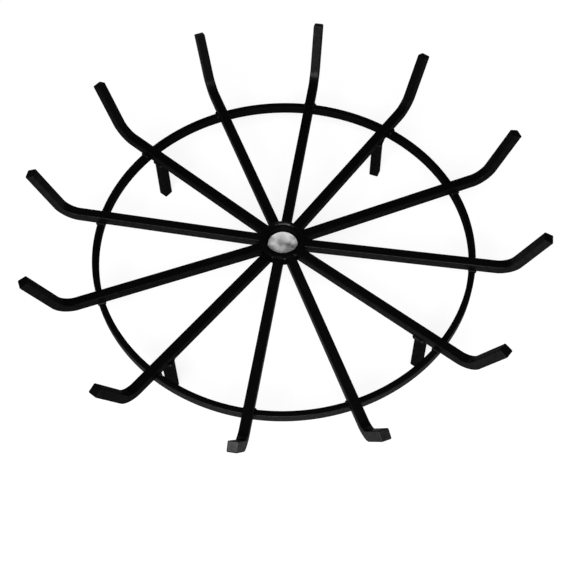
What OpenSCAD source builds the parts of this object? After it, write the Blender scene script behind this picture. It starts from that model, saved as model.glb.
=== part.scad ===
/* [Overall] */
// Width across two opposite bar ends
overall_d = 660; // [640:1:690]
// Height of the bars' undersides above the floor
leg_h = 67; // [56:1:85]

/* [Bars] */
// Side of the square steel bar
bar_w = 12.7; // [11:0.1:12.9]
// Flat cut off each long edge of the bar, as the rolled edge is soft
bar_edge = 0.6; // [0.4:0.1:1.2]
// How far each bar end is bent up from level, in degrees
bend_angle = 63.9; // [50:0.1:75]
// Inside radius of the bend
bend_inner_r = 22; // [12:0.5:26]
// Length of the upturned end, measured from where its centre line meets the level one
arm_l = 80.6; // [66:0.2:100]
// How much the bar swells on each side where it is bent cold
bend_swell = 0.15; // [0.1:0.05:0.3]

/* [Ring] */
// Diameter of the ring, to the middle of its flat bar
ring_d = 485.4; // [470:0.2:496]
// Thickness of the ring's flat bar, along the radius
ring_t = 8; // [6:0.5:10]
// Height of the ring's flat bar
ring_h = 12.7; // [8:0.1:16]
// Flat cut off each long edge of the ring
ring_edge = 0.6; // [0.3:0.1:1.2]

/* [Hub] */
// Outside diameter of the short tube that the bars are welded to
tube_d = 48.3; // [48.3:0.1:52]
// Wall of that tube
tube_wall = 3.7; // [2:0.1:4.5]
// How far the tube stands above the middle of the bars
tube_up = 6.5; // [6.2:0.1:9]
// How far the tube hangs below the middle of the bars
tube_down = 11; // [10:0.5:13]
// Depth of the plug's rim below the middle of the bars
plug_depth = 2.6; // [0:0.1:3]
// Thickness of the plug
plug_t = 6.35; // [5:0.05:7]
// Bevel round the plug's top edge
plug_bevel = 1.4; // [0.5:0.1:2.5]
// Depth of the shallow dish in the plug's face
plug_dish = 1.1; // [0.4:0.1:1.6]

/* [Legs] */
// Distance from the hub's axis to the middle of each leg
leg_r = 217.9; // [195:0.1:220]

/* [Welds] */
// Gap between a bar's end and the tube, which the weld fills
root_gap = 0.7; // [0.4:0.1:1]
// Width of the bead that runs round the tube
hub_bead_w = 6.1; // [4:0.1:7]
// Radius of the small beads where a bar crosses the ring
ring_bead_r = 2.6; // [2:0.1:3]
// Radius of the small beads round the top of each leg
leg_bead_r = 2.2; // [1.6:0.1:2.6]

/* [Hidden] */
$fn = 64;
bars = 12;
// How far each bar stands off its even place, in degrees, and how far it lies to the left of the hub's
// axis, seen from the hub: the bars were set by eye
bar_turns = [0.9, 0.8, 2.9, 0.2, -0.2, -1.5, -1.2, -1.2, 0, 0, -1, 0.3];
bar_shifts = [-0.3, -0.3, -1.4, 0, 0, 0.4, 0.3, 0, -0.8, -0.5, 0.7, 0];
// How much more each bar is bent than the rest, in degrees, how much further out its bend is and how much
// longer its upturned end is: they were bent by hand
bar_bends = [-0.3, -0.1, -0.5, -0.3, -0.7, 0.9, 1.3, 1.1, -0.3, -0.5, -0.9, 0.2];
bar_corners = [0.9, -0.1, -0.4, 0.5, 0.6, -1.1, -0.7, -0.6, 0, -0.4, 1.2, 0.6];
bar_arms = [-0.2, 0, -0.4, -0.3, -1, 0, 0.1, 2, 0.3, -0.7, -0.7, 0.6];
// How far the ring's middle lies off the hub's axis, along X and Y
ring_shift = [0.9, 1.4];
// The first bar with a leg under it, and the bars from one leg to the next
first_leg_bar = 2;
leg_step = 3;
// How far each leg is turned from its bar, in degrees
leg_turns = [15, 0, 25, 0];
legs = 4;

mid_z = leg_h + bar_w / 2;
bend_mid_r = bend_inner_r + bar_w / 2;
corner_r = overall_d / 2 - arm_l * cos(bend_angle) - bar_w / 2 * sin(bend_angle);
bar_start = tube_d / 2 + root_gap;
plug_r = tube_d / 2 - tube_wall;
plug_face_r = plug_r - plug_bevel;
dish_r = (pow(plug_face_r, 2) + pow(plug_dish, 2)) / (2 * plug_dish);
hub_bead_r = hub_bead_w / 2;
hub_bead_mid = tube_d / 2 + hub_bead_r;
// The bead's middle lies this far inside the bar's face, so that its crest stands about 2 mm proud
hub_bead_sink = 0.7;
// How many flats round the bead's crest
bead_flats = 8;
// How much larger than its bead the blob at a corner is
blob_extra = 0.6;
// How far a cutting shape runs past what it cuts
cut = 1;
// How far each straight stretch of a bar runs into its bend, inside the swell
lap = 1;

paint = [0.06, 0.06, 0.06];
bare_steel = [0.62, 0.62, 0.64];

function bar_angle(i) = i * 360 / bars + bar_turns[i];
function leg_bar(k) = first_leg_bar + leg_step * k;

// How far bar i is bent, how far that takes its two straight stretches back from their corner, and how far
// out its bend starts
function bar_bend(i) = bend_angle + bar_bends[i];
function bend_run(i) = bend_mid_r * tan(bar_bend(i) / 2);
function bend_start(i) = corner_r + bar_corners[i] - bend_run(i);

// How far out along bar i the middle of the ring's flat bar lies
function ring_out(i) = ring_d / 2 + ring_shift * [cos(bar_angle(i)), sin(bar_angle(i))];

// A point of the hub weld's outline, turned so far round its upper bead (side 1) or lower one (-1)
function bead_point(side, turn) = [
    hub_bead_mid - side * hub_bead_r * cos(turn),
    side * (bar_w / 2 - hub_bead_sink + hub_bead_r * sin(turn))
];

// A rectangle with its four corners cut off, centred on the origin
module soft_rectangle(w, h, e) {
    polygon([
        [w / 2, h / 2 - e], [w / 2 - e, h / 2], [-w / 2 + e, h / 2], [-w / 2, h / 2 - e],
        [-w / 2, -h / 2 + e], [-w / 2 + e, -h / 2], [w / 2 - e, -h / 2], [w / 2, -h / 2 + e]
    ]);
}

// The bar's cross section, thicker by swell on each side
module bar_section(swell = 0) {
    soft_rectangle(bar_w + 2 * swell, bar_w + 2 * swell, bar_edge);
}

// Straight bar that starts at x = 0 and runs along +X
module straight_bar(l) {
    rotate([90, 0, 90])
        linear_extrude(l)
            bar_section();
}

// The level stretch of bar i, out to just inside its bend
module level_bar(i) {
    translate([bar_start, 0, 0])
        straight_bar(bend_start(i) + lap - bar_start);
}

// Bar i from the hub to its upturned end, with its centre line on z = 0
module bent_bar(i) {
    level_bar(i);
    translate([bend_start(i), 0, bend_mid_r]) {
        rotate([90, 0, 0])
            rotate([0, 0, -90])
                rotate_extrude(angle = bar_bend(i))
                    translate([bend_mid_r, 0])
                        bar_section(bend_swell);
        rotate([0, -bar_bend(i), 0])
            translate([-lap, 0, -bend_mid_r])
                straight_bar(arm_l + bar_arms[i] - bend_run(i) + lap);
    }
}

// Turns and lifts a shape from bar i's own frame to its place
module at_bar(i) {
    rotate([0, 0, bar_angle(i)])
        translate([0, bar_shifts[i], mid_z])
            children();
}

module bar(i) {
    color(paint)
        at_bar(i)
            bent_bar(i);
}

module ring_shape() {
    translate([ring_shift.x, ring_shift.y, leg_h - ring_h / 2])
        rotate_extrude($fn = 180)
            translate([ring_d / 2, 0])
                soft_rectangle(ring_t, ring_h, ring_edge);
}

module support_ring() {
    color(paint)
        ring_shape();
}

// Beads along both sides of bar i where it lies on the ring, with a blob at each corner
module crossing_beads(i) {
    for (side = [-1, 1])
        translate([ring_out(i), side * bar_w / 2, -bar_w / 2]) {
            rotate([0, 90, 0])
                cylinder(r = ring_bead_r, h = ring_t, center = true);
            for (end = [-1, 1])
                translate([end * ring_t / 2, 0, 0])
                    sphere(r = ring_bead_r + blob_extra);
        }
}

// The space between the beads of one crossing, as wide as the bar
module between_beads() {
    translate([bar_start, -bar_w / 2, -bar_w])
        cube([corner_r - bar_start, bar_w, 2 * bar_w]);
}

module ring_welds() {
    color(paint)
        difference() {
            for (i = [0 : bars - 1])
                at_bar(i)
                    crossing_beads(i);
            for (i = [0 : bars - 1])
                at_bar(i)
                    between_beads();
            ring_shape();
        }
}

module hub_tube() {
    color(paint)
        translate([0, 0, mid_z - tube_down])
            difference() {
                cylinder(d = tube_d, h = tube_up + tube_down);
                translate([0, 0, -cut])
                    cylinder(r = plug_r, h = tube_up + tube_down + 2 * cut);
            }
}

// Solid disc in the tube's bore, with a bevelled edge and a shallow dish in its face
module hub_plug() {
    color(bare_steel)
        translate([0, 0, mid_z - plug_depth])
            difference() {
                rotate_extrude()
                    polygon([
                        [0, -plug_t], [plug_r, -plug_t], [plug_r, -plug_bevel], [plug_face_r, 0], [0, 0]
                    ]);
                translate([0, 0, dish_r - plug_dish])
                    sphere(r = dish_r, $fn = 128);
            }
}

// Weld metal between the bars' ends, with a rounded bead above them and one below
module hub_weld_blank() {
    rotate_extrude()
        polygon([
            for (side = [-1, 1])
                for (k = [0 : bead_flats])
                    bead_point(side, 180 * k / bead_flats)
        ]);
}

module hub_weld() {
    color(paint)
        difference() {
            translate([0, 0, mid_z])
                hub_weld_blank();
            for (i = [0 : bars - 1])
                at_bar(i)
                    level_bar(i);
        }
}

// Turns a shape to leg k's own frame, with its origin at the floor under the leg's middle
module at_leg(k) {
    rotate([0, 0, bar_angle(leg_bar(k))])
        translate([leg_r, bar_shifts[leg_bar(k)], 0])
            rotate([0, 0, leg_turns[k]])
                children();
}

// Upright bar from the floor to the underside of bar leg_bar(k)
module leg_shape(k) {
    at_leg(k)
        linear_extrude(leg_h)
            bar_section();
}

module leg(k) {
    color(paint)
        leg_shape(k);
}

// Bead round the top of a leg, with a blob at each corner
module leg_beads() {
    for (side = [-1, 1]) {
        translate([side * bar_w / 2, 0, 0])
            rotate([90, 0, 0])
                cylinder(r = leg_bead_r, h = bar_w, center = true);
        translate([0, side * bar_w / 2, 0])
            rotate([0, 90, 0])
                cylinder(r = leg_bead_r, h = bar_w, center = true);
        for (end = [-1, 1])
            translate([side * bar_w / 2, end * bar_w / 2, 0])
                sphere(r = leg_bead_r + blob_extra);
    }
}

module leg_welds() {
    color(paint)
        difference() {
            for (k = [0 : legs - 1])
                at_leg(k)
                    translate([0, 0, leg_h])
                        leg_beads();
            for (k = [0 : legs - 1]) {
                at_bar(leg_bar(k))
                    level_bar(leg_bar(k));
                leg_shape(k);
            }
        }
}

bar(0);  // bar_01
bar(1);  // bar_02
bar(2);  // bar_03
bar(3);  // bar_04
bar(4);  // bar_05
bar(5);  // bar_06
bar(6);  // bar_07
bar(7);  // bar_08
bar(8);  // bar_09
bar(9);  // bar_10
bar(10);  // bar_11
bar(11);  // bar_12
support_ring();
ring_welds();
hub_tube();
hub_plug();
hub_weld();
leg(0);  // leg_1
leg(1);  // leg_2
leg(2);  // leg_3
leg(3);  // leg_4
leg_welds();
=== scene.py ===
# %% [markdown]
# This lesson dresses a round log grate: a wheel of black square bar. Twelve bars run from a hub, over a
# ring of flat bar, and are bent up at their ends. Four short legs carry them, and everything is welded. The
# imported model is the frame. It fixes the sizes and places, so each new piece here is measured from it or
# made from the same few dimensions. A new piece then hides the plain solid that it stands for.

import bpy
import numpy as np
from mathutils import Matrix, Vector


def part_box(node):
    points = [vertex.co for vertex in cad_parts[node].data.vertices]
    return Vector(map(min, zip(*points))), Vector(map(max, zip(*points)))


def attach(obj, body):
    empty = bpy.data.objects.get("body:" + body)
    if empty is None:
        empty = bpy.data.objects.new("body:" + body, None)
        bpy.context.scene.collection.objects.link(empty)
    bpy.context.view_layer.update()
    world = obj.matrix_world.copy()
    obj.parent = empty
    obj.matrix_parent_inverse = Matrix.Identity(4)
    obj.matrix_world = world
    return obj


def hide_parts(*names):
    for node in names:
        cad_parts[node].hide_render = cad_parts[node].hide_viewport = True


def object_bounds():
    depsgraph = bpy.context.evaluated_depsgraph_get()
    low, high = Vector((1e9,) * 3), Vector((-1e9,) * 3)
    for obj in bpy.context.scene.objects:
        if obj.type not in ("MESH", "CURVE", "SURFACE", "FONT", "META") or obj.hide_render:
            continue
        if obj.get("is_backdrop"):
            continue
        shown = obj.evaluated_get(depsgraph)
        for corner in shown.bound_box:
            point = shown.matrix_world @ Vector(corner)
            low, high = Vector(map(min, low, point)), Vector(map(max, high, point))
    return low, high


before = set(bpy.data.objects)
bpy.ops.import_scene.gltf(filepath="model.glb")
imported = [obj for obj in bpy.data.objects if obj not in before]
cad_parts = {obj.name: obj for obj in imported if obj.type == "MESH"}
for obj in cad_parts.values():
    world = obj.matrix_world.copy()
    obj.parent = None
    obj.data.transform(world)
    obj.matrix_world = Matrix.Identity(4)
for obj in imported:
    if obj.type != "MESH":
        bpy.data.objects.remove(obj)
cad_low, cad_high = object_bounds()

MM = 0.001
FULL_TURN = 2 * np.pi
print("frame:", len(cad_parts), "nodes, box in mm", [round(x / MM, 1) for x in cad_high - cad_low])

# %% [markdown]
# The smith set the bars by eye: none stands at an even twelfth of a turn, and some pass the hub's middle by
# a millimetre. The places could be typed in again, but two lists of the same numbers drift apart. So each
# bar's heading, its sideways place and how far out it starts and ends are read from the frame, and so are
# the heights. Every later piece is worked out in a bar's own directions, out, left and up, and one function
# turns such places into x, y and z.

# %% Where the bars lie
BAR_W = 12.7 * MM
BAR_NODES = [f"bar_{i + 1:02d}" for i in range(12)]
LEG_NODES = [f"leg_{k + 1}" for k in range(4)]
TIP_FROM = 0.8 * cad_high.z


def node_points(name):
    """The corners of a CAD node's mesh as rows of x, y, z, each once, to a thousandth of a millimetre."""
    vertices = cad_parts[name].data.vertices
    points = np.empty(3 * len(vertices))
    vertices.foreach_get("co", points)
    return np.unique(points.reshape(-1, 3).round(6), axis=0)


def bar_line(name):
    """A bar's heading, its distance to the left of the hub's axis, and how far out its two cut ends lie.

    The corners of the upper cut are the only ones above TIP_FROM, as the upturned end is straight. The
    corners of the inner cut are the nearest ones. The line through the middles of the two cuts gives the
    rest."""
    points = node_points(name)
    tip = points[points[:, 2] > TIP_FROM].mean(axis=0)
    out = points[:, :2] @ tip[:2] / np.linalg.norm(tip[:2])
    root = points[out < out.min() + MM].mean(axis=0)
    heading = np.arctan2(tip[1] - root[1], tip[0] - root[0])
    way, left = np.array([np.cos(heading), np.sin(heading)]), np.array([-np.sin(heading), np.cos(heading)])
    return heading, root[:2] @ left, root[:2] @ way, tip[:2] @ way


headings, asides, roots, reaches = np.array([bar_line(name) for name in BAR_NODES]).T
leg_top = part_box(LEG_NODES[0])[1].z
mid_z, bar_top = leg_top + BAR_W / 2, leg_top + BAR_W
bar_start = roots.mean()


def from_bar(number, out, left, up):
    """Turns places in bar number's own frame (out along it, to its left, up) into x, y, z."""
    way, side = np.cos(headings[number]), np.sin(headings[number])
    left = left + asides[number]
    return np.stack(np.broadcast_arrays(out * way - left * side, out * side + left * way, up), axis=-1)


print("bar headings in degrees", np.degrees(headings).round(2), "asides in mm", (asides / MM).round(2))
print("bars' middle", round(mid_z / MM, 2), "mm up, their inner ends", round(bar_start / MM, 2), "mm out")

# %% [markdown]
# The camera stands where the photographer's stood. It could be placed by eye, but a long thin thing such as
# a bar shows every error. So its angles, distance and focal length were solved from the grate's outline,
# and they are plain numbers here. The hub isn't in the middle of the picture: the camera is turned off it a
# little, and the whole picture is rolled by one degree.

# %% The camera
IMAGE_W = 576
FOCAL_PX = 1100.7
SENSOR_MM = 36
CAMERA_AZIMUTH, CAMERA_ELEVATION = np.radians(10.307), np.radians(54.285)
CAMERA_ROLL = np.radians(1.298)
CAMERA_DISTANCE = 1414.7 * MM
HUB_OFFSET_PX = np.array([-4.36, -45.41])


def look_at_hub():
    """Camera axes as rows right, up and forward, and its place. It first looks straight at the hub, then it
    is turned by the smallest turn that puts the hub at its offset in the picture, and then it is rolled."""
    flat, steep = np.cos(CAMERA_ELEVATION), np.sin(CAMERA_ELEVATION)
    back = np.array([np.sin(CAMERA_AZIMUTH) * flat, -np.cos(CAMERA_AZIMUTH) * flat, steep])
    right = np.array([np.cos(CAMERA_AZIMUTH), np.sin(CAMERA_AZIMUTH), 0])
    straight = np.array([right, np.cross(right, -back), -back])
    sight = Vector((HUB_OFFSET_PX[0], -HUB_OFFSET_PX[1], FOCAL_PX)).normalized()
    turn = np.array(Vector((0, 0, 1)).rotation_difference(sight).to_matrix())
    roll = np.array(Matrix.Rotation(CAMERA_ROLL, 3, "Z"))
    return roll @ turn @ straight, Vector((0, 0, mid_z)) + Vector(back * CAMERA_DISTANCE)


axes, camera_place = look_at_hub()
camera = bpy.data.objects.new("camera", bpy.data.cameras.new("camera"))
camera.data.sensor_fit = "HORIZONTAL"
camera.data.sensor_width = SENSOR_MM
camera.data.lens = FOCAL_PX * SENSOR_MM / IMAGE_W
camera.matrix_world = Matrix.LocRotScale(camera_place, Matrix(np.array([axes[0], axes[1], -axes[2]]).T), None)
bpy.context.scene.collection.objects.link(camera)
bpy.context.scene.camera = camera
print("camera at", [round(x, 3) for x in camera_place], "m, lens", round(camera.data.lens, 2), "mm")

# %% [markdown]
# A material is a small net of nodes. Written out one by one the nodes fill pages, so one helper makes a
# node, sets it and links its inputs in a single call. A second helper stretches a pattern's middle values
# to any two ends, which is the most used step of all.

# %% Helpers for materials


def add(tree, kind, inputs=None, output=0, **settings):
    """A new node's output. Inputs are set by name or number, to another node's output or to a plain value."""
    made = tree.nodes.new(kind)
    for name, value in settings.items():
        setattr(made, name, value)
    for name, value in (inputs or {}).items():
        if isinstance(value, bpy.types.NodeSocket):
            tree.links.new(value, made.inputs[name])
        else:
            made.inputs[name].default_value = value
    return made.outputs[output]


def noise(tree, place, per_metre, detail=3.0, roughness=0.5):
    """Cloudy noise from 0 to 1, with its largest clouds about 1 / per_metre across."""
    inputs = {"Vector": place, "Scale": per_metre, "Detail": detail, "Roughness": roughness}
    return add(tree, "ShaderNodeTexNoise", inputs)


def spread(tree, value, low, high, to_low, to_high):
    """Maps low to to_low and high to to_high, with nothing past either end."""
    inputs = {"Value": value, "From Min": low, "From Max": high, "To Min": to_low, "To Max": to_high}
    return add(tree, "ShaderNodeMapRange", inputs)


def blend_colours(tree, mix, dark, light):
    """A colour from dark, where mix is 0, to light, where it is 1."""
    ramp = add(tree, "ShaderNodeValToRGB", {"Fac": mix})
    stops = ramp.node.color_ramp.elements
    stops[0].color, stops[1].color = (*dark, 1), (*light, 1)
    return ramp


def new_material(name):
    """An empty material with its tree and its main shader."""
    material = bpy.data.materials.new(name)
    material.use_nodes = True
    return material, material.node_tree, material.node_tree.nodes["Principled BSDF"]


print("helpers:", [helper.__name__ for helper in (add, noise, spread, blend_colours, new_material)])

# %% [markdown]
# The paint is a matt black made to stand heat. Its pigment grains break through a thin film of resin and
# mineral flakes, so the surface is dead matt and nearly black, and only a small share of it is glossy. A
# shader's plain gloss would not do: it grows strongly at low angles and turns the flat tops grey. So that
# gloss is switched off, and the film is the shader's coat. A coat of high index shines nearly alike at all
# angles, and its weight says what share of the surface the film covers.
# Under the paint the mill scale shows as shallow flakes and pits, the rolling left faint lines along the
# bar, and the spray has a fine grain. All three are bumps. The lines follow a bar round its bend, so the
# patterns don't read the object's own coordinates. Each point carries an attribute instead, stock, which is
# where that point was while the bar was still straight.

# %% Black heat paint
PAINT_DARK, PAINT_LIGHT = (0.0012, 0.0012, 0.0012), (0.0032, 0.0031, 0.003)
CLOUDS_PER_M, FLAKES_PER_M, LINES_PER_M, SPRAY_PER_M = 40, 190, 900, 1300
LINES_STRETCH = (0.03, 1.0, 1.0)
CLOUD_EDGES, FLAKE_EDGES = (0.35, 0.65), (0.42, 0.62)
MATT_ROUGHNESS = (0.7, 0.5)
FILM_INDEX = 2.2
LINE_DEPTH, SPRAY_DEPTH = 0.012 * MM, 0.008 * MM


def paint(name, film, film_roughness, pit_depth, thinner=None):
    """Matt black paint over rough steel. The film covers a share between film's two values, and the pits
    are as deep as given. Thinner names an axis of stock, a place on it where only a share of that film
    is left, a place from which all of it is there, and the share."""
    material, tree, shader = new_material(name)
    stock = add(tree, "ShaderNodeAttribute", output="Vector", attribute_name="stock")
    along = add(tree, "ShaderNodeMapping", {"Vector": stock, "Scale": LINES_STRETCH})
    clouds = noise(tree, stock, CLOUDS_PER_M, detail=5)
    flakes = spread(tree, noise(tree, stock, FLAKES_PER_M, detail=4), *FLAKE_EDGES, 0, 1)
    lines = noise(tree, along, LINES_PER_M, detail=2)
    spray = noise(tree, stock, SPRAY_PER_M, detail=2)
    tree.links.new(blend_colours(tree, clouds, PAINT_DARK, PAINT_LIGHT), shader.inputs["Base Color"])
    tree.links.new(spread(tree, clouds, *CLOUD_EDGES, *MATT_ROUGHNESS), shader.inputs["Roughness"])
    covered = spread(tree, flakes, 0, 1, film[1], film[0])
    if thinner:
        axis, share_at, all_from, least = thinner
        place = add(tree, "ShaderNodeSeparateXYZ", {0: stock}, output=axis)
        left = spread(tree, place, share_at, all_from, least, 1)
        covered = add(tree, "ShaderNodeMath", {0: covered, 1: left}, operation="MULTIPLY")
    tree.links.new(covered, shader.inputs["Coat Weight"])
    relief = None
    for height, depth in ((flakes, pit_depth), (lines, LINE_DEPTH), (spray, SPRAY_DEPTH)):
        inputs = {"Height": height, "Distance": depth, "Strength": 1.0}
        if relief:
            inputs["Normal"] = relief
        relief = add(tree, "ShaderNodeBump", inputs)
    tree.links.new(relief, shader.inputs["Normal"])
    tree.links.new(relief, shader.inputs["Coat Normal"])
    shader.inputs["Specular IOR Level"].default_value = 0.0
    shader.inputs["Coat Roughness"].default_value = film_roughness
    shader.inputs["Coat IOR"].default_value = FILM_INDEX
    print(f"{name}: the film covers {film[0]:.1%} to {film[1]:.1%} of it")
    return material


# %% [markdown]
# The grate was sprayed by hand, so some bars got a thinner or thicker film than the rest. The ring got
# more, but little of it reached its inside, where the film is thin. The legs and the hub's tube are dull.
# Weld metal is smoother than rolled steel, so the same film is glossier on it. Round the hub the film is
# thin on the low parts of the notches between the bars, where the spray hardly reached. One paint with a
# mask could say all this, but a paint for each case keeps every number in sight.

# %% The seven paints
RING_T = 8 * MM
# Where the film is thin: axis of stock, place with only a share of it, place with all of it, and the share.
RING_INSIDE = ("Y", -0.3 * RING_T, 0.3 * RING_T, 0.12)
LOW_IN_NOTCHES = ("Z", bar_top - 2 * MM, bar_top + 0.5 * MM, 0.1)

bar_paint = paint("bar_paint", film=(0.042, 0.065), film_roughness=0.34, pit_depth=0.02 * MM)
thin_paint = paint("thin_paint", film=(0.018, 0.03), film_roughness=0.34, pit_depth=0.02 * MM)
thick_paint = paint("thick_paint", film=(0.085, 0.115), film_roughness=0.34, pit_depth=0.02 * MM)
ring_paint = paint("ring_paint", film=(0.075, 0.1), film_roughness=0.34, pit_depth=0.015 * MM,
                   thinner=RING_INSIDE)
dull_paint = paint("dull_paint", film=(0.01, 0.02), film_roughness=0.4, pit_depth=0.03 * MM)
bead_paint = paint("bead_paint", film=(0.045, 0.08), film_roughness=0.2, pit_depth=0.03 * MM)
hub_bead_paint = paint("hub_bead_paint", film=(0.06, 0.11), film_roughness=0.22, pit_depth=0.03 * MM,
                       thinner=LOW_IN_NOTCHES)

# %% [markdown]
# The disc in the hub was faced on a lathe and kept bare. Air and hands have dulled it in soft patches, and
# those patches also stand for the light that it mirrors: they are partly painted reflection. Its far left
# side is lighter, which is a painted highlight. A clean metal mirrors its surroundings and would be bright or
# dark all over, but this one scatters light, as dulled steel does, so the shader is mostly a plain grey and
# metallic by a fifth. The patches could be painted by hand. Clouds of noise are enough, and they can be moved
# and spread until they look right. The colour turns black over the bevel round the face, at a distance from
# the axis. Shallow waves run round the face, as facing leaves them. The wave node multiplies its scale by 20,
# so its waves lie 2 pi / (20 * scale) metres apart.

# %% Bare steel
STEEL_DARK, STEEL_LIGHT = (0.15, 0.15, 0.15), (0.95, 0.95, 0.95)
STEEL_METALLIC = 0.2
# the patches are partly dulling of the steel and partly painted reflection
PATCHES_PER_M = 70
PATCHES_AT = (0, 4.5 * MM, 0)
PATCH_EDGES, PATCH_GLOSS_EDGES = (0.3, 0.68), (0.3, 0.7)
STEEL_ROUGHNESS = (0.34, 0.22)
# painted highlight: how much darker and lighter the colour gets from the near right to the far left side
PAINTED_HIGHLIGHT_SHADES = (-0.36, 0.32)
WAVE_SCALE, WAVE_DISTORTION, FACING_DEPTH = 25, 0.6, 0.01 * MM
DISC_BEVEL = 1.4 * MM
# where the colour turns black, just inside and outside the face's edge
DARK_BEVEL_EDGES = (-0.2 * MM, 0.1 * MM)

disc_low, disc_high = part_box("hub_plug")
disc_r, disc_face_r = disc_high.x, disc_high.x - DISC_BEVEL
# painted highlight: the direction in which the disc's colour grows lighter, towards its far left side
PAINTED_HIGHLIGHT_SIDE = (-0.66 / disc_face_r, 0.75 / disc_face_r, 0)


def bare_steel():
    """Dulled steel: cloudy patches of grey, partly painted reflection, plus a painted highlight towards the
    far left side, out to the bevel.
    """
    material, tree, shader = new_material("bare_steel")
    place = add(tree, "ShaderNodeTexCoord", output="Object")
    moved = add(tree, "ShaderNodeMapping", {"Vector": place, "Location": PATCHES_AT})
    patches = noise(tree, moved, PATCHES_PER_M, detail=3)
    inputs = {"Vector": place, "Scale": WAVE_SCALE, "Distortion": WAVE_DISTORTION}
    waves = add(tree, "ShaderNodeTexWave", inputs, output=1, wave_type="RINGS", rings_direction="Z")
    # painted highlight: a slope of colour across the disc, added to the patches
    inputs = {0: place, 1: PAINTED_HIGHLIGHT_SIDE}
    side = add(tree, "ShaderNodeVectorMath", inputs, output="Value", operation="DOT_PRODUCT")
    inputs = {0: spread(tree, patches, *PATCH_EDGES, 0, 1), 1: spread(tree, side, -1, 1, *PAINTED_HIGHLIGHT_SHADES)}
    bright = add(tree, "ShaderNodeMath", inputs, operation="ADD", use_clamp=True)
    steel = blend_colours(tree, bright, STEEL_DARK, STEEL_LIGHT)
    level = add(tree, "ShaderNodeVectorMath", {0: place, 1: (1, 1, 0)}, operation="MULTIPLY")
    out = add(tree, "ShaderNodeVectorMath", {0: level}, output="Value", operation="LENGTH")
    # the colour turns black past the face's edge, over the bevel
    dark_bevel = spread(tree, out, disc_face_r + DARK_BEVEL_EDGES[0], disc_face_r + DARK_BEVEL_EDGES[1], 0, 1)
    inputs = {"Factor": dark_bevel, "A": steel, "B": (*PAINT_DARK, 1)}
    colour = add(tree, "ShaderNodeMix", inputs, output=2, data_type="RGBA")
    tree.links.new(colour, shader.inputs["Base Color"])
    tree.links.new(spread(tree, patches, *PATCH_GLOSS_EDGES, *STEEL_ROUGHNESS), shader.inputs["Roughness"])
    relief = add(tree, "ShaderNodeBump", {"Height": waves, "Distance": FACING_DEPTH, "Strength": 1.0})
    tree.links.new(relief, shader.inputs["Normal"])
    shader.inputs["Metallic"].default_value = STEEL_METALLIC
    return material


disc_steel = bare_steel()
wave_l = FULL_TURN / (20 * WAVE_SCALE)
print("bare steel out to", round(disc_face_r / MM, 2), "mm, with waves", round(wave_l / MM, 1), "mm apart")

# %% [markdown]
# Every piece of the grate is rolled, bent or turned, so every one is a closed outline carried along a line:
# bars and legs have two ends, and the ring, the tube and the round beads meet themselves. Curve objects
# with a bevel could do some of it, but they can't change the outline on the way. So one function makes the
# skin of such a piece from a grid of points, rings[s, t], where s goes along the line and t goes round the
# outline.

# %% Closed skins from grids of points


def closed_skin(rings, stock, loop=False):
    """Points, stock places, quads and triangles of one closed skin over rings[s, t].

    Quads join ring s to ring s + 1, and each ring closes on itself. With loop the last ring joins the
    first, and otherwise the middle point of each end ring closes that end with a fan. The faces are
    turned outwards by the sign of the volume that they enclose: the sum of (a x b) . c / 6 over the
    triangles."""
    steps, around = rings.shape[:2]
    index = np.arange(steps * around).reshape(steps, around)
    near, far = (index, np.roll(index, -1, axis=0)) if loop else (index[:-1], index[1:])
    quads = np.stack([near, np.roll(near, -1, axis=1), np.roll(far, -1, axis=1), far], axis=-1).reshape(-1, 4)
    points, places, fans = rings.reshape(-1, 3), stock.reshape(-1, 3), np.empty((0, 3), int)
    if not loop:
        points = np.vstack([points, rings[0].mean(axis=0), rings[-1].mean(axis=0)])
        places = np.vstack([places, stock[0].mean(axis=0), stock[-1].mean(axis=0)])
        pole = np.full(around, index.size)
        first, last = index[0], index[-1]
        fans = np.vstack([np.stack([pole, np.roll(first, -1), first], axis=-1),
                          np.stack([pole + 1, last, np.roll(last, -1)], axis=-1)])
    a, b, c = points[np.vstack([quads[:, :3], quads[:, [0, 2, 3]], fans])].transpose(1, 0, 2)
    if (np.cross(a, b) * c).sum() < 0:
        quads, fans = quads[:, ::-1], fans[:, ::-1]
    return points, places, quads, fans


square = np.array([[-1, -1], [1, -1], [1, 1], [-1, 1]])
block = np.stack([np.c_[square, np.full(4, height)] for height in (-1, 1)])
quads, fans = closed_skin(block, block)[2:]
print("a test block has", len(quads), "quads and", len(fans), "triangles")

# %% [markdown]
# A finished piece is one object with one mesh, also where it has many skins, as the beads of twelve
# crossings do. Its points are worked out where they belong, so the object itself stays at the origin. The
# mesh could be built point by point, but whole arrays are far quicker. Smooth shading would round off the
# sawn cuts, so edges that turn by more than a given angle are marked sharp.

# %% From skins to a piece
SHARP_FROM = np.radians(35)


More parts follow.
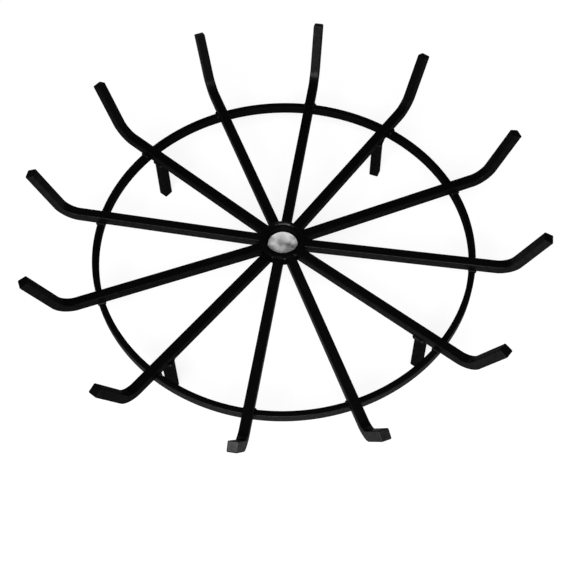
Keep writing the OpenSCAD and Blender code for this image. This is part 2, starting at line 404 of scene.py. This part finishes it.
def make_piece(name, skins, material, slot, *nodes):
    """One object at the origin from any number of closed skins. It rides the grate and hides the nodes that
    it stands for. Its mesh is filled from whole arrays, and every point keeps its place in the straight
    stock."""
    starts = np.cumsum([0] + [len(s[0]) for s in skins[:-1]])
    quads = np.vstack([s[2] + k for s, k in zip(skins, starts)])
    fans = np.vstack([s[3] + k for s, k in zip(skins, starts)])
    points, stock = np.vstack([s[0] for s in skins]), np.vstack([s[1] for s in skins])
    mesh = bpy.data.meshes.new(name)
    mesh.vertices.add(len(points))
    mesh.vertices.foreach_set("co", points.ravel())
    mesh.loops.add(quads.size + fans.size)
    mesh.loops.foreach_set("vertex_index", np.r_[quads.ravel(), fans.ravel()])
    mesh.polygons.add(len(quads) + len(fans))
    quad_starts, fan_starts = np.arange(len(quads)) * 4, quads.size + np.arange(len(fans)) * 3
    mesh.polygons.foreach_set("loop_start", np.r_[quad_starts, fan_starts])
    mesh.update(calc_edges=True)
    mesh.attributes.new("stock", "FLOAT_VECTOR", "POINT").data.foreach_set("vector", stock.ravel())
    mesh.shade_smooth()
    mesh.set_sharp_from_angle(angle=SHARP_FROM)
    mesh.materials.append(material)
    made = bpy.data.objects.new(name, mesh)
    bpy.context.scene.collection.objects.link(made)
    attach(made, "root")
    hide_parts(*nodes)
    print(f"{name}: {len(skins)} skins, {2 * len(quads) + len(fans)} triangles")
    return made


print("edges are sharp from", round(np.degrees(SHARP_FROM)), "degrees on")

# %% [markdown]
# Rolled bar is never sharp: its four corners are small arcs. A bevel on a box would give them, but not
# along a bend. The outline below is a rectangle with round corners. A few more points lie on each flat
# side, close to the arcs, so that smooth shading stays at the corners and the sides look flat. Width,
# height and radius may be arrays, so a whole bar's outlines come from a single call.

# %% The outline of rolled bar
ARC_STEPS = 6
FLAT_MARKS = np.array([0.04, 0.35, 0.65, 0.96])


def soft_rectangle(width, height, radius, marks=FLAT_MARKS):
    """Outline of a rectangle with round corners, as an array of points (..., t, 2), anticlockwise.

    Each quarter is an arc, corner centre + radius * (cos a, sin a), and then marks on the straight side
    after it."""
    sizes = np.broadcast_arrays(width, height, radius)
    width, height, radius = (np.asarray(size, float)[..., None, None] for size in sizes)
    side_x, side_y = np.array([1, -1, -1, 1])[:, None], np.array([1, 1, -1, -1])[:, None]
    turn = (np.arange(4)[:, None] + np.linspace(0, 1, ARC_STEPS + 1)) * (np.pi / 2)
    arcs = np.stack([side_x * (width / 2 - radius) + radius * np.cos(turn),
                     side_y * (height / 2 - radius) + radius * np.sin(turn)], axis=-1)
    begin, end = arcs[..., -1:, :], np.roll(arcs[..., :1, :], -1, axis=-3)
    sides = begin + (end - begin) * marks[:, None]
    outline = np.concatenate([arcs, sides], axis=-2)
    return outline.reshape(*outline.shape[:-3], -1, 2)


print("outline has", soft_rectangle(BAR_W, BAR_W, MM).shape[0], "points")

# %% [markdown]
# Bars and legs are sawn off square, and a file has eased the edges of the cuts. Such an end is the same
# outline again and again, drawn in further and further along a quarter circle. Both kinds of piece share
# the next two functions: one says where the outlines stand and how far they are drawn in, and the other
# makes them.

# %% Sawn ends
# Radii of the rolled edges, of the least that is left of them at a cut, and of the cut's own edges.
BAR_EDGE_R, LEAST_EDGE_R, SAWN_EDGE_R = 1.6 * MM, 0.3 * MM, 0.8 * MM
CUT_RIM, CUT_STEPS = 0.5 * MM, 5
CUT_CLEAR, TIP_CLEAR = 2 * MM, 3 * MM


def cut_stations(length, between, ease, far_ease):
    """Distances along a sawn bar with eased edges, and how far its outline is drawn in at each.

    At both ends the outline grows along a quarter circle of radius ease, with a from 0 to 90 degrees.
    Distance: ease * (1 - cos a). Drawn in by: ease * (1 - sin a).
    One more ring, CUT_RIM further in, keeps the cut itself flat."""
    turn = np.linspace(0, np.pi / 2, CUT_STEPS + 1)
    grow, draw_in = np.r_[0, 1 - np.cos(turn)], np.r_[1, 1 - np.sin(turn)]
    near, far = ease * draw_in, far_ease * draw_in
    near[0], far[0] = near[0] + CUT_RIM, far[0] + CUT_RIM
    return (np.r_[ease * grow, between, length - far_ease * grow[::-1]],
            np.r_[near, np.zeros(len(between)), far[::-1]])


def sawn_outlines(drawn):
    """The square bar's outline at each station, drawn in from all sides, with corners that shrink with it."""
    width = BAR_W - 2 * drawn
    return soft_rectangle(width, width, np.maximum(BAR_EDGE_R - drawn, LEAST_EDGE_R))


print("a sawn end has", CUT_STEPS + 2, "outlines over", SAWN_EDGE_R / MM, "mm")

# %% [markdown]
# Each bar is one length of square bar, bent cold in a machine that is set by three numbers: the angle, the
# inside radius and the length of the upturned end, measured from the corner where the two straight lines
# would meet. The smith bent and cut by eye, so each bar differs from the even values by a degree or a
# millimetre. Where a bar ends is read from the frame, and the level part gets what is left. The middle line
# is a level part, an arc and a straight end, so it is written down as a formula, without a curve object.

# %% How the bars are bent
EVEN_BEND_DEG, EVEN_ARM_MM = 63.9, 80.6
OWN_BEND_DEG = np.array([-0.3, -0.1, -0.5, -0.3, -0.7, 0.9, 1.3, 1.1, -0.3, -0.5, -0.9, 0.2])
OWN_ARM_MM = np.array([-0.2, 0, -0.4, -0.3, -1, 0, 0.1, 2, 0.3, -0.7, -0.7, 0.6])
BEND_INNER_R = 22 * MM

bends, arm_ls = np.radians(EVEN_BEND_DEG + OWN_BEND_DEG), (EVEN_ARM_MM + OWN_ARM_MM) * MM
bend_mid_r = BEND_INNER_R + BAR_W / 2
bend_runs = bend_mid_r * np.tan(bends / 2)
level_ls = reaches - arm_ls * np.cos(bends) - bend_runs - bar_start
bar_ls = level_ls + bend_mid_r * bends + arm_ls - bend_runs


def bent_line(s, level_l, bend):
    """A bar's middle line at a distance s along it: how far out, how far up, and how far it has turned.

    Out: the level part, then bend radius * sin(turned), then the upturned part * cos(turned).
    Up: bend radius * (1 - cos(turned)), then the upturned part * sin(turned)."""
    turned = np.clip((s - level_l) / bend_mid_r, 0, bend)
    beyond = np.maximum(s - level_l - bend_mid_r * bend, 0)
    out = bar_start + np.minimum(s, level_l) + bend_mid_r * np.sin(turned) + beyond * np.cos(turned)
    up = mid_z + bend_mid_r * (1 - np.cos(turned)) + beyond * np.sin(turned)
    return out, up, turned


print("bar lengths", (bar_ls / MM).round(1), "mm")

# %% [markdown]
# Now the outline is carried along that line. A cold bend isn't clean: the inside of the bar is squeezed and
# spreads sideways, and the outside is stretched and draws in. The sides are a little wavy, as hot rolled
# bar is, and no two bars are alike, so each bar's waves come from its own seeded draw. One bar was sawn at
# a slant, and two have rounder tips, because the light on their ends shows it. Five bars got a thinner film
# of paint and two a thicker one. Bars count from 0 here, so number 0 is bar_01.

# %% The twelve bars
# Outlines on the level part, in the bend and on the end, and how far they keep off the bend or go past it.
STATIONS = (40, 34, 12)
BEND_CLEAR, BEND_PAST = (4 * MM, 6 * MM), 0.1
BEND_SPREAD = 0.035
WAVE_DEPTH, WAVE_COUNT, WAVE_PACES = 0.06 * MM, 6, (15, 110)
FIRST_SEED = 40
OWN_STOCK = 0.9
TIP_EDGE_R = np.array([1, 1, 2.4, 2.4, 1, 1, 1, 1, 1, 1, 1, 1]) * MM
CUT_LEANS = np.radians([0, 0, 0, 0, 0, 0, 0, 0, 0, 10, 0, 0])
LEAN_FROM = 20 * MM
FILMS = {**dict.fromkeys([1, 2, 5, 7, 8], thin_paint), **dict.fromkeys([9, 10], thick_paint)}


def share(value, start, end):
    """How far a value has come from start to end: (value - start) / (end - start), kept between 0 and 1."""
    return np.clip((value - start) / (end - start), 0, 1)


def bent_bar(number):
    """Skin of bar number: the outline (across, thick) is carried along the bent line, in an upright plane
    that is then turned to the bar's heading.

    In the bend, across is multiplied by 1 + spread * thick / half the width. Near a slanting cut the
    distance grows by slope * thick. The waves multiply across and thick by 1 + a mean of sines.
    Stock is the place in the straight bar, and each bar takes its own stretch of it, so that no two show
    the same patterns."""
    draw = np.random.default_rng(FIRST_SEED + number)
    level_l, bar_l, bend = level_ls[number], bar_ls[number], bends[number]
    bend_l = bend_mid_r * bend
    between = np.r_[np.linspace(CUT_CLEAR, level_l - BEND_CLEAR[0], STATIONS[0]),
                    level_l + bend_l * np.linspace(-BEND_PAST, 1 + BEND_PAST, STATIONS[1]),
                    np.linspace(level_l + bend_l + BEND_CLEAR[1], bar_l - TIP_CLEAR, STATIONS[2])]
    s, drawn = cut_stations(bar_l, between, SAWN_EDGE_R, TIP_EDGE_R[number])
    across, thick = np.moveaxis(sawn_outlines(drawn), -1, 0)
    slope = np.tan(CUT_LEANS[number])
    slant = slope * thick - abs(slope) * BAR_W / 2
    s = s[:, None] + share(s, bar_l - LEAN_FROM, bar_l)[:, None] * slant
    bent = np.sin(np.pi * share(s, level_l, level_l + bend_l)) ** 2
    across = across * (1 + BEND_SPREAD * bent * thick / (BAR_W / 2))
    pace, shift = draw.uniform(*WAVE_PACES, WAVE_COUNT), draw.uniform(0, FULL_TURN, (2, WAVE_COUNT))
    waves = np.sin(s[..., None] * pace + shift[:, None, None]).mean(axis=-1) * WAVE_DEPTH / BAR_W
    across, thick = across * (1 + waves[0]), thick * (1 + waves[1])
    out, up, turned = bent_line(s, level_l, bend)
    out, up = out - thick * np.sin(turned), up + thick * np.cos(turned)
    stock = np.stack([s + OWN_STOCK * number, across, thick], axis=-1)
    return closed_skin(from_bar(number, out, across, up), stock)


for number, node in enumerate(BAR_NODES):
    made = make_piece(f"log_{node}", [bent_bar(number)], FILMS.get(number, bar_paint), "black_paint", node)
made_low, made_high = Vector(made.bound_box[0]), Vector(made.bound_box[6])
off = max(abs(x) for x in (*(made_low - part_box(node)[0]), *(made_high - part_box(node)[1])))
print("the last bar's box is within", round(off / MM, 2), "mm of its solid's")

# %% [markdown]
# The ring is flat bar rolled on edge, and the hub is a short length of tube. Both close on themselves, so
# their outline is carried round an upright axis. A torus or a screw modifier would do for a perfect ring,
# but rolling by hand leaves the radius a little uneven, by less than the paint's thickness, and the formula
# can hold that.

# %% Rolled and turned pieces
RING_H, RING_EDGE_R, RING_WOBBLE = 12.7 * MM, 1.0 * MM, 0.03 * MM
TUBE_WALL, TUBE_EDGE_R = 3.7 * MM, 0.6 * MM
RING_STEPS, TUBE_STEPS = 480, 160


def carried_round(outline, middle, radius, steps, wobble=0.0):
    """Skin of an outline (outwards, up) carried round an upright axis through middle, at a radius.

    A point lies at middle + (r cos a, r sin a), where r is radius + outwards + a wobble. The wobble is three
    sines, of 3, 7 and 17 waves a turn."""
    angle = np.linspace(0, FULL_TURN, steps, endpoint=False)[:, None]
    slow = wobble * (np.sin(3 * angle + 1) + 0.6 * np.sin(7 * angle + 2) + 0.4 * np.sin(17 * angle))
    r = radius + outline[..., 0] + slow
    up = middle.z + outline[..., 1] + 0 * angle
    rings = np.stack([middle.x + r * np.cos(angle), middle.y + r * np.sin(angle), up], axis=-1)
    stock = np.stack([angle * radius + 0 * r, r - radius, up - middle.z], axis=-1)
    return closed_skin(rings, stock, loop=True)


ring_low, ring_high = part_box("support_ring")
ring_middle = (ring_low + ring_high) / 2
ring_r = ring_high.x - ring_middle.x - RING_T / 2
ring_outline = soft_rectangle(RING_T, RING_H, RING_EDGE_R)
ring_skin = carried_round(ring_outline, ring_middle, ring_r, RING_STEPS, RING_WOBBLE)
make_piece("rolled_ring", [ring_skin], ring_paint, "black_paint", "support_ring")

tube_low, tube_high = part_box("hub_tube")
tube_middle, tube_mid_r = (tube_low + tube_high) / 2, tube_high.x - TUBE_WALL / 2
tube_outline = soft_rectangle(TUBE_WALL, tube_high.z - tube_low.z, TUBE_EDGE_R)
tube_skin = carried_round(tube_outline, tube_middle, tube_mid_r, TUBE_STEPS)
make_piece("hub_sleeve", [tube_skin], dull_paint, "black_paint", "hub_tube")
print("the ring's middle line is", round(2 * ring_r / MM, 1), "mm across")

# %% [markdown]
# The legs are offcuts of the same square bar, sawn square at both ends, and each stands under a third bar.
# Two of them were welded on a little turned from their bars, which shows in the photograph at their feet. A
# bevelled cube would look the same from afar, but the bars' sawn ends are at hand, so they serve here too.

# %% The four legs
LEG_BARS = [2, 5, 8, 11]
LEG_TURNS = np.radians([15, 0, 25, 0])
LEG_STATIONS = 12


def from_leg(k, x, y, up):
    """Turns places in leg k's own frame into x, y, z: by the leg's heading, and then to its middle."""
    middle = node_points(LEG_NODES[k]).mean(axis=0)
    turn = headings[LEG_BARS[k]] + LEG_TURNS[k]
    turned_x, turned_y = x * np.cos(turn) - y * np.sin(turn), x * np.sin(turn) + y * np.cos(turn)
    return np.stack(np.broadcast_arrays(middle[0] + turned_x, middle[1] + turned_y, up), axis=-1)


def leg_skin(k):
    """Skin of a straight upright length: the outline, turned, at the middle of its CAD node."""
    between = np.linspace(CUT_CLEAR, leg_top - CUT_CLEAR, LEG_STATIONS)
    s, drawn = cut_stations(leg_top, between, SAWN_EDGE_R, SAWN_EDGE_R)
    x, y = np.moveaxis(sawn_outlines(drawn), -1, 0)
    stock = np.stack(np.broadcast_arrays(s[:, None] - OWN_STOCK * (k + 1), x, y), axis=-1)
    return closed_skin(from_leg(k, x, y, s[:, None]), stock)


for k, node in enumerate(LEG_NODES):
    make_piece(f"sawn_{node}", [leg_skin(k)], dull_paint, "black_paint", node)

# %% [markdown]
# The disc in the hub is a faced slug. Its face is slightly dished, and a bevel runs round it. A spun
# profile would leave a pole to close at each end. Here its outline is a row of circles that starts and ends
# close to the axis, on the face and underneath, so the same closed skin makes it, with a small fan at each
# pole.

# %% The bare disc
DISC_DISH = 1.1 * MM
DISC_AROUND, FACE_STEPS = 128, 20
POLE_SHARE = 0.02
BEVEL_HOLD, UNDER_BEVEL = 0.3 * MM, 0.4 * MM


def disc_skin():
    """Skin of the dished disc. The face is part of a sphere of radius (face^2 + dish^2) / (2 dish). A
    circle BEVEL_HOLD before the bevel's end keeps the shading of the bevel flat."""
    sphere_r = (disc_face_r**2 + DISC_DISH**2) / (2 * DISC_DISH)
    face = np.linspace(POLE_SHARE, 1, FACE_STEPS) * disc_face_r
    face_z = disc_high.z - DISC_DISH + sphere_r - np.sqrt(sphere_r**2 - face**2)
    bevel_z, under_z = disc_high.z - DISC_BEVEL, disc_low.z
    under_r = np.r_[disc_r - UNDER_BEVEL, disc_r / 2, POLE_SHARE * disc_r]
    r = np.r_[face, disc_r - BEVEL_HOLD, disc_r, disc_r, under_r][:, None]
    z = np.r_[face_z, bevel_z + BEVEL_HOLD, bevel_z, under_z + UNDER_BEVEL, np.full(3, under_z)][:, None]
    angle = np.linspace(0, FULL_TURN, DISC_AROUND, endpoint=False)
    rings = np.stack([r * np.cos(angle), r * np.sin(angle), z + 0 * angle], axis=-1)
    return closed_skin(rings, rings)


make_piece("faced_disc", [disc_skin()], disc_steel, "bare_steel", "hub_plug")

# %% [markdown]
# Weld metal is laid by a moving arc, and each pulse leaves a ripple, a crescent that points back along the
# bead. A bump map could draw it, but a bead shows its profile, so the ripples are real. A bead is an
# outline carried along the joint, pushed in and out along its own outward direction by a ripple that
# repeats every millimetre or so. It is the absolute value of a sine, with sharp valleys and round crests,
# as weld metal has.

# %% How a bead ripples
RIPPLE_L = 1.5 * MM
RIPPLE_DEPTH, RIPPLE_MIDDLE, RIPPLE_BOW = 0.22 * MM, 0.6, 0.9


def outward(outline):
    """Unit vectors that point out of a closed outline: its direction at each point, turned by a quarter."""
    ahead = np.roll(outline, -1, axis=-2) - np.roll(outline, 1, axis=-2)
    normal = np.stack([ahead[..., 1], -ahead[..., 0]], axis=-1)
    return normal / np.linalg.norm(normal, axis=-1, keepdims=True)


def ripples(along, across):
    """Height of the ripples at a distance along a bead, bowed back by how far across it the point lies:
    depth * (absolute value of sin(pi * (along / length + bow * across^2)) - its middle)."""
    wave = np.sin(np.pi * (along / RIPPLE_L + RIPPLE_BOW * across**2))
    return RIPPLE_DEPTH * (np.abs(wave) - RIPPLE_MIDDLE)


print("ripples every", RIPPLE_L / MM, "mm,", RIPPLE_DEPTH / MM, "mm from valley to crest")

# %% [markdown]
# One heavy bead runs round the hub over the bars' inner ends, another runs under them, and weld fills the
# notches between the bars. Three pieces would show seams where they cross, so a single closed outline, as
# tall as all three, goes round the axis and changes on its way. Over a bar its top is two slopes, down to
# the tube and down to the bar. In the three notches in front the metal sagged: the crest is lower there,
# and its outside is fuller, with a round shoulder that catches the light.

# %% The outline of the hub's weld
FOOT_IN, LEAST_FLAT = 0.5 * MM, 0.02 * MM
SLOPE_FROM, SLOPE_SUNK, RIDGE_R = 0.7 * MM, 0.2 * MM, 0.12 * MM
INNER_SLOPE, OUTER_SLOPE = np.tan(np.radians([38, 27]))
NOTCH_R, NOTCH_EDGES = 29 * MM, (-1 * MM, 0.6 * MM)
FULL_NOTCHES, FRONT_EDGES = np.radians(285), (0.6, 0.7)
NOTCH_SAG, NOTCH_REACH = 0.5 * MM, 1.8 * MM
TOP_JOINS, REACH_JOINS = 0.1, 0.3

bead_low, bead_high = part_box("hub_weld")
hub_bead_w, hub_bead_h = bead_high.x - tube_high.x, bead_high.z - bead_low.z
hub_bead_mid_r, hub_bead_mid_z = tube_high.x + hub_bead_w / 2, (bead_low.z + bead_high.z) / 2


def notch_share(angle):
    """How much of a notch there is at each angle round the hub, from 0 over a bar to 1 between two bars.

    Distance to the nearest bar's side, at NOTCH_R from the axis: NOTCH_R * sin(angle off it) - BAR_W / 2.
    Its share n between NOTCH_EDGES is eased: n^2 * (3 - 2 n). Away from the front it fades out."""
    off_bar = np.abs((angle - headings - asides / hub_bead_mid_r + np.pi) % FULL_TURN - np.pi).min(axis=1)
    notch = share(NOTCH_R * np.sin(off_bar) - BAR_W / 2, *NOTCH_EDGES)[:, None]
    in_front = share(np.cos(angle - FULL_NOTCHES), *FRONT_EDGES)
    return notch**2 * (3 - 2 * notch) * in_front


def weld_outline(notch):
    """Outline (outwards, up) of the weld, one for each share of a notch.

    It starts as a tall stadium. Over a bar its top becomes two slopes, a steep one down to the tube and
    a shallow one down to the bar, and it follows the lower of them:
    a = tube top + distance to the tube * INNER_SLOPE, b = bar top + distance to the rim * OUTER_SLOPE.
    A soft minimum rounds the ridge where they meet: -r * log(exp(-a / r) + exp(-b / r)).
    In a notch the top stays round, sinks by NOTCH_SAG and reaches further out by NOTCH_REACH."""
    half_w, straight = hub_bead_w / 2, (hub_bead_h - hub_bead_w) / 2
    x, y = soft_rectangle(hub_bead_w, hub_bead_h, half_w - LEAST_FLAT).T
    lift, base = np.maximum(y - straight, 0), hub_bead_mid_z + straight
    inner = tube_high.z - base + (x + half_w - SLOPE_FROM) * INNER_SLOPE
    outer = bar_top - SLOPE_SUNK - base + (half_w - x) * OUTER_SLOPE
    slopes = -RIDGE_R * np.log(np.exp(-inner / RIDGE_R) + np.exp(-outer / RIDGE_R))
    full = share(lift, 0, TOP_JOINS * hub_bead_w)
    top = full * (slopes + notch * (np.minimum(lift, inner) - NOTCH_SAG * full - slopes))
    inwards = FOOT_IN * share(x, half_w, -half_w)
    outwards = NOTCH_REACH * notch * share(lift, 0, REACH_JOINS * hub_bead_w) * share(x, -half_w, half_w)
    return np.stack([x - inwards + outwards, np.where(lift > 0, y - lift + top, y + 0 * notch)], axis=-1)


print("the weld is", round(hub_bead_w / MM, 2), "mm wide and", round(hub_bead_h / MM, 2), "mm tall")

# %% [markdown]
# The outline now goes round the hub. Its upper and lower ends get the ripples, and slower lumps from a
# seeded draw make it look laid by hand. A noise texture could push it about, but a few sines close on
# themselves after a full turn. In the notches in front the metal ran smooth, so both fade out there.

# %% The weld round the hub
HUB_BEAD_STEPS, HUB_SEED = 1080, 7
HUB_RIPPLE = 0.3
LUMPS_A_TURN, LUMP_DEPTH = (5, 11, 19, 31), 0.035 * MM


def hub_bead():
    """Skin of the weld: r = middle radius + outwards, with a push along the outline's outward direction.
    The push is the ripples and a sum of slow sines, times the square root of how far up or down that
    direction points."""
    angle = np.linspace(0, FULL_TURN, HUB_BEAD_STEPS, endpoint=False)[:, None]
    notch = notch_share(angle)
    outline = weld_outline(notch)
    normal = outward(outline)
    crest = np.abs(normal[..., 1]) ** 0.5
    draw = np.random.default_rng(HUB_SEED)
    lumps = LUMP_DEPTH * sum(np.sin(n * angle + draw.uniform(0, FULL_TURN)) for n in LUMPS_A_TURN)
    rippled = HUB_RIPPLE * ripples(angle * hub_bead_mid_r, outline[..., 0] / (hub_bead_w / 2))
    push = crest * (rippled + lumps) * (1 - notch)
    r = hub_bead_mid_r + outline[..., 0] + normal[..., 0] * push
    up = hub_bead_mid_z + outline[..., 1] + normal[..., 1] * push
    rings = np.stack([r * np.cos(angle), r * np.sin(angle), up], axis=-1)
    stock = np.stack([angle * hub_bead_mid_r + 0 * r, r, up], axis=-1)
    return closed_skin(rings, stock, loop=True)


make_piece("hub_bead", [hub_bead()], hub_bead_paint, "painted_weld", "hub_weld")

# %% [markdown]
# Two short beads hold each bar to the ring, one on each side. A short bead is fattest at its ends, where
# the welder stopped and the metal ran over the ring's edge. A capsule would be too even. So it is a round
# worm along the joint, half of it sunk in the steel, whose radius swells towards both ends and closes there
# as half an egg.

# %% Beads where the bars cross the ring
BEAD_R, BLOB_R, BLOB_L = 1.8 * MM, 2.1 * MM, 1.4 * MM
WORM_STEPS, WORM_AROUND = 44, 28
EGG_TURNS = np.radians(np.linspace(8, 84, 8))
BEAD_SIZES, RIPPLE_START = (0.94, 1.05), 3 * MM
SUNK_SHARE, SUNK_WAY = 0.1, np.pi / 4
WORM_SEED = 21


def crossing_bead(number, side, draw):
    """Skin of one bead. Its radius grows from BEAD_R in the middle to BLOB_R over the ring's two edges, and
    past them it closes as half an egg: BLOB_R * sqrt(1 - (distance past the edge / BLOB_L)^2). It is
    flatter by SUNK_SHARE on the side that looks up and away from the bar."""
    half, egg = RING_T / 2, BLOB_L * np.sin(EGG_TURNS)
    s = np.r_[-half - egg[::-1], np.linspace(-half, half, WORM_STEPS), half + egg]
    swell, past = share(np.abs(s), 0, half), np.maximum(np.abs(s) - half, 0)
    body, end = BEAD_R + (BLOB_R - BEAD_R) * swell**2, BLOB_R * np.sqrt(1 - (past / BLOB_L) ** 2)
    angle = np.linspace(0, FULL_TURN, WORM_AROUND, endpoint=False)
    up_and_away = np.cos(angle - SUNK_WAY)
    size, start = draw.uniform(*BEAD_SIZES), draw.uniform() * RIPPLE_START
    smooth = size * np.where(past > 0, end, body)[:, None] * (1 - SUNK_SHARE * up_and_away)
    r = smooth + ripples(s[:, None] + start, up_and_away) * (past < MM)[:, None]
    crossing = ring_r + ring_middle.x * np.cos(headings[number]) + ring_middle.y * np.sin(headings[number])
    left = side * (BAR_W / 2 + r * np.cos(angle))
    rings = from_bar(number, crossing + s[:, None], left, leg_top + r * np.sin(angle))
    return closed_skin(rings, rings)


draw = np.random.default_rng(WORM_SEED)
worms = [crossing_bead(number, side, draw) for number in range(12) for side in (-1, 1)]
make_piece("crossing_beads", worms, bead_paint, "painted_weld", "ring_welds")

# %% [markdown]
# The last beads run round the tops of the legs, under the bars, and the one at the fourth leg is the
# heaviest. Four straight worms would leave gaps at the corners. The line that such a bead follows is the
# leg's own outline, so the soft rectangle serves as a path here, and a round section is carried along it.

# %% Beads round the legs
LEG_BEAD_RS = np.array([1.7, 1.7, 1.7, 2.6]) * MM
LEG_BLOB, CORNER_EDGES = 0.6 * MM, (0.5 * BAR_W, 0.7 * BAR_W)
PATH_MARKS = np.linspace(0.03, 0.97, 36)
SECTION_AROUND, INNER_SHARE = 24, 0.4


def leg_bead(k):
    """Skin of a bead round a leg: path + outward * r cos a, up by r sin a. It is thicker at the leg's
    corners, and its inner half is shallow, so that it stays inside the steel."""
    path = soft_rectangle(BAR_W, BAR_W, BAR_EDGE_R, PATH_MARKS)
    run = np.r_[0, np.cumsum(np.linalg.norm(np.diff(path, axis=0), axis=1))][:, None]
    corner = share(np.linalg.norm(path, axis=1), *CORNER_EDGES)[:, None]
    angle = np.linspace(0, FULL_TURN, SECTION_AROUND, endpoint=False)
    r = LEG_BEAD_RS[k] + LEG_BLOB * corner**2 + ripples(run + 0 * angle, np.sin(angle))
    aside = r * np.cos(angle) * np.where(np.cos(angle) > 0, 1, INNER_SHARE)
    flat = path[:, None] + outward(path)[:, None] * aside[..., None]
    rings = from_leg(k, flat[..., 0], flat[..., 1], leg_top + r * np.sin(angle))
    return closed_skin(rings, rings, loop=True)


make_piece("leg_beads", [leg_bead(k) for k in range(4)], bead_paint, "painted_weld", "leg_welds")

# %% [markdown]
# The grate stands on a plain white floor. A floor that is white only because of strong lamps would also
# burn out the steel, so part of its white is its own: for rays that come from the camera, off a glossy
# surface or through glass it adds a steady glow to what the lamps give, and the soft shadow stays. Far out
# it fades into the world.

# %% The floor
FLOOR_HALF, FLOOR_UNDER = 3.0, 0.2 * MM
FLOOR_GLOW, FLOOR_SEEN, FLOOR_BOUNCE = 0.85, 0.25, 0.8
FADE_FROM, FADE_TO = 1.3, 2.7


def floor_material():
    """White floor: diffuse white for the light that it throws back, and a glow plus part of it when seen."""
    material, tree, shader = new_material("studio_floor")
    tree.nodes.remove(shader)
    rays = tree.nodes.new("ShaderNodeLightPath")
    seen = rays.outputs["Is Camera Ray"]
    for other in ("Is Glossy Ray", "Is Transmission Ray"):
        seen = add(tree, "ShaderNodeMath", {0: seen, 1: rays.outputs[other]}, operation="MAXIMUM")
    bounce = add(tree, "ShaderNodeBsdfDiffuse", {"Color": (FLOOR_BOUNCE,) * 3 + (1,)})
    plain = add(tree, "ShaderNodeBsdfDiffuse", {"Color": (FLOOR_SEEN,) * 3 + (1,)})
    glow = add(tree, "ShaderNodeEmission", {"Strength": FLOOR_GLOW})
    lit = add(tree, "ShaderNodeAddShader", {0: plain, 1: glow})
    white = add(tree, "ShaderNodeMixShader", {0: seen, 1: bounce, 2: lit})
    place = add(tree, "ShaderNodeTexCoord", output="Object")
    distance = add(tree, "ShaderNodeVectorMath", {0: place}, output="Value", operation="LENGTH")
    gone = spread(tree, distance, FADE_FROM, FADE_TO, 0, 1)
    clear = add(tree, "ShaderNodeBsdfTransparent")
    tree.links.new(add(tree, "ShaderNodeMixShader", {0: gone, 1: white, 2: clear}),
                   tree.nodes["Material Output"].inputs["Surface"])
    return material


corners = [(x * FLOOR_HALF, y * FLOOR_HALF, -FLOOR_UNDER) for x, y in ((-1, -1), (1, -1), (1, 1), (-1, 1))]
floor_mesh = bpy.data.meshes.new("floor")
floor_mesh.from_pydata(corners, [], [(0, 1, 2, 3)])
floor_mesh.materials.append(floor_material())
floor = bpy.data.objects.new("floor", floor_mesh)
bpy.context.scene.collection.objects.link(floor)
floor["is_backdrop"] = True
print("floor", 2 * FLOOR_HALF, "m wide, it fades from", FADE_FROM, "to", FADE_TO, "m out")

# %% [markdown]
# The world is white below the horizon, as if the floor went on, and dark above it, as under a dark ceiling.
# The flat tops of the black bars mirror the ceiling and so stay black, and their sides mirror the pale
# floor. A picture of a real room would do the same, but two plain tones say why the bars look as they do.

# %% The world
HORIZON, CEILING_FROM = 0.0, 0.1
CEILING = 0.03


def studio_world():
    """World tone by the height of a ray's direction, z from -1 to 1: white below HORIZON, then dark."""
    world = bpy.data.worlds.new("studio")
    bpy.context.scene.world = world
    world.use_nodes = True
    tree = world.node_tree
    way = add(tree, "ShaderNodeTexCoord", output="Generated")
    height = add(tree, "ShaderNodeSeparateXYZ", {0: way}, output="Z")
    tone = spread(tree, height, HORIZON, CEILING_FROM, 1.0, CEILING)
    tree.links.new(tone, tree.nodes["Background"].inputs["Color"])


studio_world()
ceiling_angle = np.degrees(np.arcsin(CEILING_FROM))
print("world: 1 below the horizon,", CEILING, "from", round(ceiling_angle, 1), "degrees up")

# %% [markdown]
# Two soft lamps stand in front. The large one is high: it lights the bare disc and the crests of the weld,
# and gives a plain level of light, at which a grey surface that faces it renders about as its colour says.
# The weak one is low, so that the front bars' cut ends catch a little light and the flat tops don't. One
# lamp from above would be simpler, but flat black tops mirror it and turn grey.

# %% Lamps


def soft_lamp(name, azimuth, elevation, distance, width, height, level):
    """A rectangular area lamp that looks at the grate. Level is the brightness of its face, where 1 is
    white. Azimuth 0 is in front and 90 is on the right."""
    a, e = np.radians(azimuth), np.radians(elevation)
    back = Vector((np.sin(a) * np.cos(e), -np.cos(a) * np.cos(e), np.sin(e)))
    lamp = bpy.data.lights.new(name, "AREA")
    lamp.shape = "RECTANGLE"
    lamp.size, lamp.size_y = width, height
    lamp.energy = level * np.pi * width * height
    made = bpy.data.objects.new(name, lamp)
    made.location = back * distance
    made.rotation_mode = "QUATERNION"
    made.rotation_quaternion = back.to_track_quat("Z", "Y")
    made.visible_camera = False
    bpy.context.scene.collection.objects.link(made)
    print(f"{name}: {lamp.energy:.0f} W")


soft_lamp("front_lamp", azimuth=-2, elevation=49, distance=4.5, width=3.8, height=2.0, level=9.5)
soft_lamp("low_lamp", azimuth=0, elevation=15, distance=4.5, width=2.6, height=1.6, level=2.8)

# %% [markdown]
# Last, the view transform is set to Standard, so that a colour renders as it is written, and the sizes of
# the plain model and of the dressed one are kept side by side.

# %% Finish
bpy.context.scene.view_settings.view_transform = "Standard"
made_low, made_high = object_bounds()
print("dressed box in mm", [round(x / MM, 1) for x in made_high - made_low])
